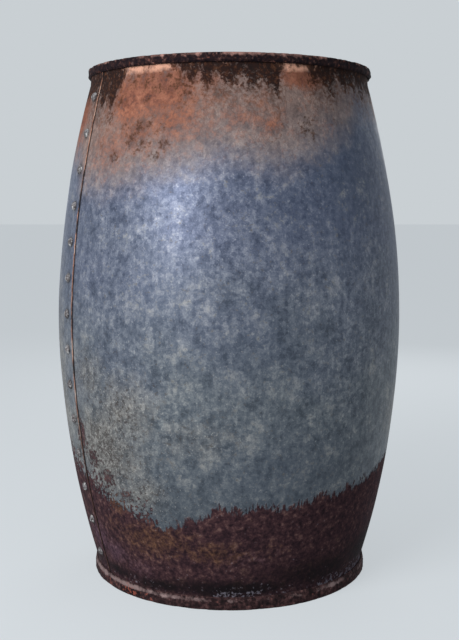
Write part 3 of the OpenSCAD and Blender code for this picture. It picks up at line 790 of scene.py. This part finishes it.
def makeHead(name, material, node, top):
    # a dished disc: its middle line from the axis to the skirt's edge, with half the thickness on each
    # side, and low waves that stay off the plates
    half = head["thickness"] / 2
    room = min(flatRadius - closure["edge"] - 2 * plateRadius(closure) for closure in (bung, vent))
    panelRadius = room - head["panelGap"] - head["slope"]
    corners = [(0, head["panel"] - half), (panelRadius, head["panel"] - half),
               (panelRadius + head["slope"], -half), (skirtRadius - half, -half),
               (skirtRadius - half, head["recess"] - wall["tuck"])]
    line = roundedPath(corners, np.array([head["bend"], head["bend"], head["knuckle"] + half]), 4.5 * mm)
    across = pathNormals(line) * half
    points, tris = lathe(np.concatenate([line + across, (line - across)[::-1]]), 200)
    radius = np.hypot(points[..., 0], points[..., 1])
    flat = points * (1, 1, 0)
    relief = head["waviness"] * lumps(flat, 75 * mm, 6) + 0.3 * mm * lumps(flat, 24 * mm)
    relief = relief * smooth(flatRadius, flatRadius - 20 * mm, radius)
    fitted = (bung, vent) if top else ()
    for closure in fitted:
        off = points - closureFrame(closure)[0] * (1, 1, 0)
        reach = plateRadius(closure)
        relief = relief * smooth(reach + 3 * mm, reach + 20 * mm, np.hypot(off[..., 0], off[..., 1]))
    points[..., 2] += relief
    points[..., 2] = headFace + points[..., 2] if top else head["recess"] - points[..., 2]
    piece = makePiece(name, points, tris, "barrel", [node], material)
    for closure in fitted:
        drill(piece, closure, closure["bore"] / 2 + plate["spigotWall"] + fit["spigot"])


def threadWave(closure, points, low, high):
    # a rounded right-handed screw: sine of (height / pitch - turn), fading out at both ends
    turns = np.arctan2(points[..., 0], -points[..., 1]) / (2 * np.pi)
    level = points[..., 2]
    wave = np.sin(2 * np.pi * (level / closure["pitch"] - turns))
    return wave * smooth(low, low + 1.5 * mm, level) * smooth(high, high - 1.5 * mm, level)


def makeFlange(label, closure, material):
    # a bored boss on a plate, forged in one: a rounded section carried round, with the bore's side screwed
    bore = closure["bore"] / 2
    boss = bore + closure["wall"]
    edge = boss + plate["width"]
    top = closure["boss"]
    spigot, drop, seat = bore + plate["spigotWall"], -plate["spigotDrop"], fit["seat"]
    corners = [(bore, drop), (spigot, drop), (spigot, seat), (edge, seat), (edge, plate["thickness"]),
               (boss, plate["thickness"]), (boss, top), (bore, top)]
    radii = np.array([0.5, 0.5, 0.3, 0.5, 1.8, 3.0, 1.6, 1.0]) * mm
    path = roundedPath(corners, radii, np.array([2, 1, 2, 2, 2, 2, 2, 0.25]) * mm, closed=True)
    points, tris = lathe(path, 128, closed=True)
    inBore = smooth(bore + 0.2 * mm, bore, path[:, :1])
    growth = inBore * (0.1 * mm + closure["thread"] * threadWave(closure, points, -1 * mm, top - 0.8 * mm))
    rough = lumps(points, 7 * mm, 8) * 0.25 * mm * smooth(bore + 6 * mm, bore + 8 * mm, path[:, :1])
    rough = rough * smooth(1 * mm, 3 * mm, path[:, 1:])
    out = points * (1, 1, 0) / path[:, None, :1]
    points = points + out * growth[..., None] + (0, 0, 1) * rough[..., None]
    high = 0.7 * smooth(top - 2 * mm, top, path[:, 1:]) + points[..., 2] * 0
    points, tris = copiesOf(points, tris, [closureFrame(closure)])
    piece = makePiece(label + "Flange", points, tris, "barrel", [label + "_flange"],
                      material, dict(high=high))
    drill(piece, closure, 0)


def makePlateRivets(label, closure, material):
    # domed rivets through plate and head, their heads 1.8 times as wide as the shank
    grip = plate["thickness"] + head["thickness"] + fit["seat"]
    shank = plate["rivetRadius"]
    points, tris = lathe(rivetPath(shank * 1.8, shank * 1.2, shank, grip), 24)
    spots = plateRivetSpots(closure) + (0, 0, plate["thickness"] + 0.02 * mm)
    points, tris = copiesOf(points, tris, [[spot, *np.eye(3)] for spot in spots])
    points, tris = copiesOf(points, tris, [closureFrame(closure)])
    points = points + (0, 0, 0.12 * mm) * lumps(points, 3 * mm)[..., None]
    makePiece(label + "PlateRivets", points, tris, "barrel", [label + "_flange_rivets"],
              material)


def makeGasket(label, closure, material):
    # a flat ring squeezed a little, so its outer edge bulges as a half round
    low = closure["boss"] + fit["seat"]
    high = closure["boss"] + gasket["thickness"] - fit["seat"]
    inner = closure["bore"] / 2 + gasket["inset"]
    outer = closure["bore"] / 2 + closure["wall"] - gasket["edge"]
    corners = [(inner, low), (outer, low), (outer, high), (inner, high)]
    path = roundedPath(corners, np.array([0.3, 0.9, 0.9, 0.3]) * mm, 1.5 * mm, closed=True)
    points, tris = lathe(path, 96, closed=True)
    out = points * (1, 1, 0) / path[:, None, :1]
    bulge = 0.25 * mm * lumps(points, 9 * mm, 3) * smooth(inner, outer, path[:, :1])
    points = points + out * bulge[..., None]
    points, tris = copiesOf(points, tris, [closureFrame(closure)])
    body = label + "_gasket"
    makePiece(label + "Gasket", points, tris, body, [body], material)


def makePlug(label, closure, material):
    # one outline carried round: hollow below, screwed body, flange, and a square above, whose rounds turn
    # into a square of side 2 by 1 / (|cos|^9 + |sin|^9)^(1/9), 9 being the squareness
    body = closure["bore"] / 2 - fit["thread"]
    hollow = body - plug["wall"]
    seat = closure["boss"] + gasket["thickness"]
    flange = closure["bore"] / 2 + closure["wall"] - fit["thread"]
    top = seat + plug["flange"]
    side = closure["square"] / 2
    low, roof, crown = plug["short"], top - plug["roof"], top + plug["square"]
    corners = [(0, roof), (hollow, roof), (hollow, low), (body, low), (body, seat), (flange, seat),
               (flange, top), (side, top), (side, crown), (0, crown)]
    radii = np.array([1.0, 0.7, 1.0, 0.5, 0.8, 1.5, 1.5, 1.5]) * mm
    path = roundedPath(corners, radii, np.array([2, 1.5, 1, 0.25, 1.5, 1, 0.8, 1.2, 1.5]) * mm)
    points, tris = lathe(path, 128)
    rows = np.arange(len(path))[:, None]
    above = rows > np.argmax(path[:, 0] + path[:, 1] * 0.01)
    squared = smooth(min(side * 1.42, flange - 1.5 * mm), side + 1 * mm, path[:, :1]) * above
    angle = np.arctan2(points[..., 0], points[..., 1])
    power = plug["squareness"]
    square = (np.abs(np.cos(angle)) ** power + np.abs(np.sin(angle)) ** power) ** (-1 / power)
    points = points * np.stack([1 + squared * (square - 1)] * 2 + [np.ones_like(square)], -1)
    screwed = smooth(body - 0.3 * mm, body, path[:, :1]) * smooth(body + 0.3 * mm, body, path[:, :1])
    wave = threadWave(closure, points, low, seat - 2.5 * mm)
    growth = screwed * (closure["thread"] * wave - 0.1 * mm)
    length = np.maximum(np.hypot(points[..., 0], points[..., 1]), 0.1 * mm)
    rough = 0.2 * mm * lumps(points, 5 * mm, 9) * above
    points = points + points * (1, 1, 0) * ((growth + rough * squared) / length)[..., None]
    points = points + (0, 0, 1) * (rough * (path[:, :1] > 0))[..., None]
    high = 0.8 * above * squared * smooth(top + 2 * mm, top + 7 * mm, path[:, 1:])
    high = high * smooth(side * 0.7, side * 0.95, path[:, :1]) * smooth(0.98, 1.2, square)
    high = np.maximum(high, above * 0.6 * smooth(flange - 2 * mm, flange, path[:, :1]))
    high = np.maximum(high, 0.75 * screwed * smooth(0, 0.8, wave))
    points, tris = copiesOf(points, tris, [closureFrame(closure)])
    moving = label + "_plug"
    makePiece(label + "Plug", points, tris, moving, [moving], material, dict(high=high))


# put it together

makeBodySheet(weatheredZinc())
rivetRust = rustedSteel("rustedRivetSteel", ["#3a3534", "#635e5e", "#8d8b8d", "#b9b9bb"], 11 * mm, 0.4 * mm,
                        "#d3d3d2", "#8c8782")  # snap heads: dark rust, rubbed grey on the crown
makeSeamRivets(rivetRust)
rimRust = rustedSteel("blackScaledRim", ["#0f090d", "#1b1117", "#32201f", "#6e4c46"], 18 * mm, 0.9 * mm,
                      "#b1877d", "#7a544c")  # thick black-maroon scale, pinkish where its bumps flake, with a painted highlight on its top edge and bumps
makeRing("rimRing", rim, True, rimRust, "rim_ring")
footRust = rustedSteel("maroonScaledFoot", ["#170f11", "#2f2022", "#4f3737", "#755856"], 20 * mm, 0.8 * mm,
                       "#9c8583", "#6b5856", "#9c5546")  # maroon scale, grey-pink on its slope, partly rubbed and partly a painted highlight
makeRing("footRing", foot, False, footRust, "foot_ring")
print("barrel: rivets and rings")
headRust = rustedSteel("rustedHeadSheet", ["#2a1a15", "#55341f", "#7f4c31", "#b07450"], 26 * mm, 0.7 * mm,
                       "#9a8378", "#5f5347")  # sheet that held water: layered brown rust under dirt
makeHead("topHead", headRust, "top_head", True)
makeHead("bottomHead", headRust, "bottom_head", False)
forged = rustedSteel("rustedForging", ["#2c1d18", "#4b3026", "#6a4534", "#8f6449"], 14 * mm, 0.5 * mm,
                     "#8e8078", "#61554a")  # forged steel: finer, harder rust than the sheet
cast = rustedSteel("rustedCastIron", ["#2b2220", "#46352f", "#654a3e", "#8a6753"], 8 * mm, 0.6 * mm,
                   "#9b928b", "#665a50")  # sand-cast iron: grainy brown, its square rubbed bright by keys
rubber = agedRubber()
for label, closure in (("bung", bung), ("vent", vent)):
    makeFlange(label, closure, forged)
    makePlateRivets(label, closure, rivetRust)
    makeGasket(label, closure, rubber)
    makePlug(label, closure, cast)
print("barrel: heads and closures")
